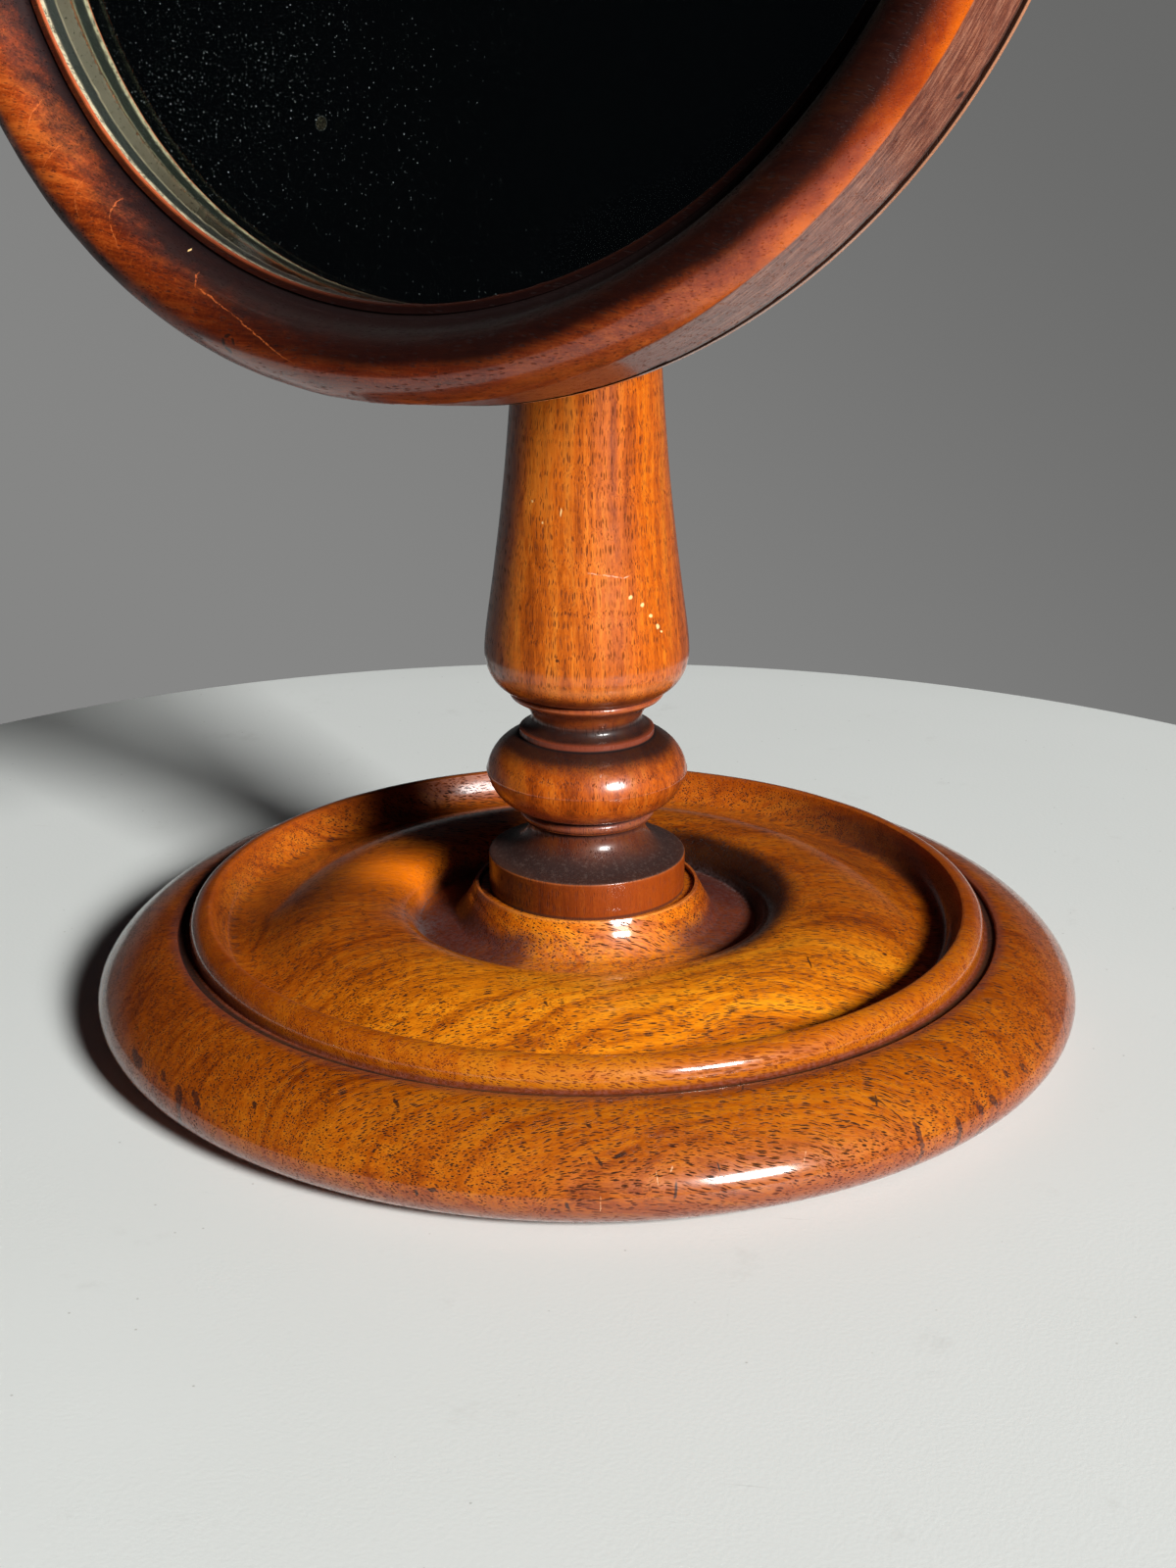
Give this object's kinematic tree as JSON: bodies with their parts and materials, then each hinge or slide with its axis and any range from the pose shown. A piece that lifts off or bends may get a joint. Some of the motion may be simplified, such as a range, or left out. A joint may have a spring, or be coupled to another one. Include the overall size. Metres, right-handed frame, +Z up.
{
  "type": "table mirror",
  "caption": "Round table mirror in a deep turned frame, tilting and turning on a baluster column over a dished round base.",
  "frame": {"origin": "middle of the underside, on the axis of the base and column", "axes": "+Z up along the column; the mirror faces -Y and is tilted back 9.2 degrees at rest; +X along the pivot, to the thumb nut"},
  "size_m": [0.282, 0.2508, 0.4482],
  "materials": {
    "mahogany_base": "polished golden-brown mahogany with dark pores",
    "mahogany_column": "polished orange-brown mahogany, grain along the column",
    "mahogany_frame": "polished deep red-brown mahogany",
    "glass": "clear old plate glass",
    "silvering": "old silvering with small dark spots",
    "felt": "grey felt",
    "baize": "green baize",
    "pine": "plain sawn pine",
    "leather": "oiled leather",
    "iron": "rough cast",
    "steel": "dull old steel",
    "brass": "aged polished brass"
  },
  "bodies": {
    "stand": {"base_disc": "mahogany_base", "base_weight": "iron", "weight_screws": "steel", "baize_pad": "baize", "column": "mahogany_column", "column_screw": "steel", "screw_washer": "steel", "top_plate": "brass", "plate_screws": "brass", "swivel_bush": "brass", "grub_screw": "steel"},
    "post": {"swivel_post": "brass"},
    "mirror": {"mirror_frame": "mahogany_frame", "mirror_glass": "glass", "silvering": "silvering", "glass_felt": "felt", "glass_blocks": "pine", "back_board": "mahogany_frame", "back_board_screws": "brass", "back_boss": "mahogany_frame", "boss_screws": "steel", "mirror_bracket": "brass", "bracket_screws": "brass", "pivot_bolt": "brass", "friction_washers": "leather", "nut_washer": "brass"},
    "nut": {"thumb_nut": "brass"}
  },
  "joints": [
    {"name": "swivel", "type": "hinge", "parent": "stand", "child": "post", "pos_m": [0, 0, 0.2724], "axis": [0, 0, 1], "continuous": true},
    {"name": "mirror_tilt", "type": "hinge", "parent": "post", "child": "mirror", "pos_m": [0, 0, 0.2989], "axis": [-1, 0, 0], "range_deg": [-16, 45]},
    {"name": "nut_turn", "type": "hinge", "parent": "mirror", "child": "nut", "pos_m": [0.0136, 0, 0.2989], "axis": [1, 0, 0], "range_deg": [-30, 330]}
  ]
}
